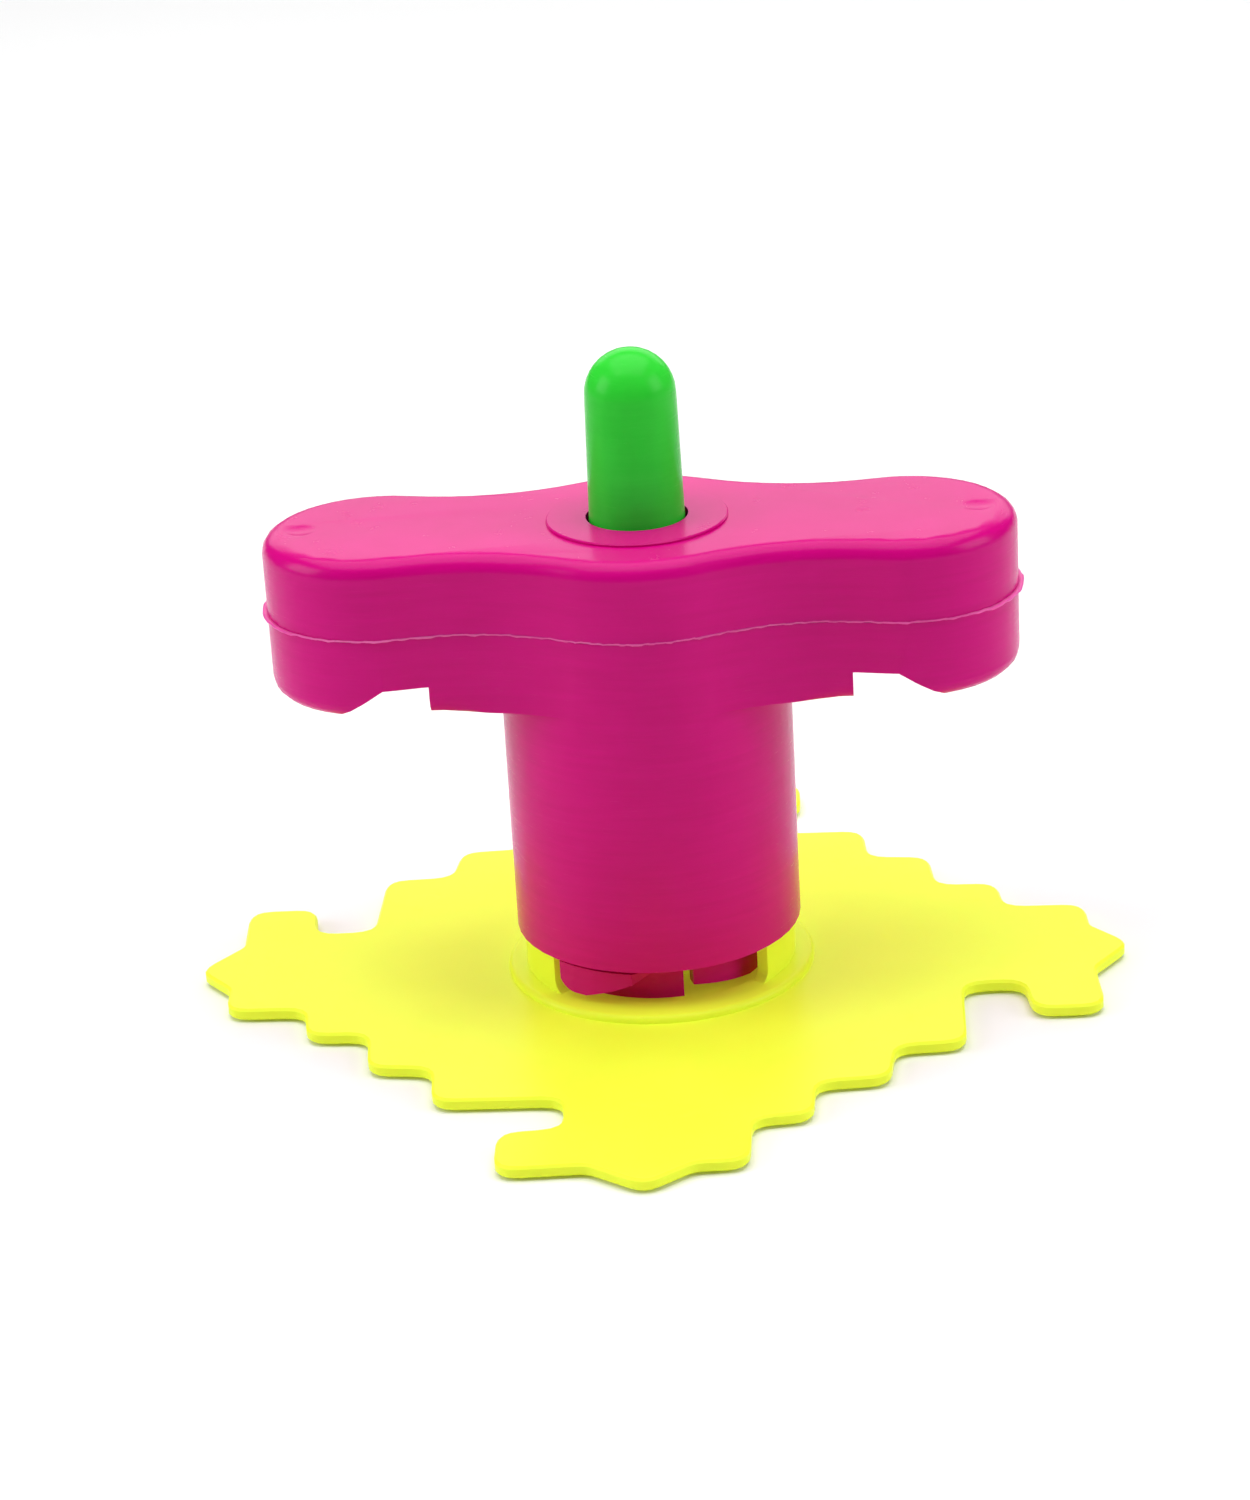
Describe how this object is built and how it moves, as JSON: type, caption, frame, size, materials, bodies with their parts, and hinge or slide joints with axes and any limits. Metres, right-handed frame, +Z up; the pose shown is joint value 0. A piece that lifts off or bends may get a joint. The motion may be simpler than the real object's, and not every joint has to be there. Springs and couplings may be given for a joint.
{
  "type": "spinning disc launcher",
  "caption": "Pocket toy: a thumb plunger in a winged grip turns a spiral bar and claw hub that spin and release a flat stepped disc.",
  "frame": {"origin": "on the spin axis, on the disc's flat underside", "axes": "+Z up along the spin axis; X along the grip's two wings; -Y is the front"},
  "size_m": [0.075, 0.075, 0.0523],
  "materials": {
    "pink_plastic": "gloss",
    "green_plastic": "gloss",
    "yellow_plastic": "gloss",
    "spring_steel": "satin",
    "nylon": "matte"
  },
  "bodies": {
    "grip": {"grip_body": "pink_plastic", "grip_cover": "pink_plastic", "return_spring": "spring_steel"},
    "plunger": {"plunger": "green_plastic", "spiral_nut": "nylon"},
    "rotor": {"drive_hub": "pink_plastic", "spiral_bar": "spring_steel", "thrust_washer": "nylon", "retaining_ring": "spring_steel"},
    "disc": {"spinner_disc": "yellow_plastic"}
  },
  "joints": [
    {"name": "plunger_press", "type": "slide", "parent": "grip", "child": "plunger", "axis": [0, 0, -1], "range_m": [0, 0.012], "stiffness_N_per_m": 150, "springref_m": -0.004, "deforming": ["return_spring"]},
    {"name": "rotor_spin", "type": "hinge", "parent": "grip", "child": "rotor", "pos_m": [0, 0, 0], "axis": [0, 0, 1], "range_deg": [-541, 0]},
    {"name": "disc_release", "type": "slide", "parent": "rotor", "child": "disc", "axis": [0, 0, -1], "range_m": [0, 0.012]}
  ],
  "couplings": [
    {"joint": "rotor_spin", "follows": "plunger_press", "rad_per_m": -785.4}
  ]
}
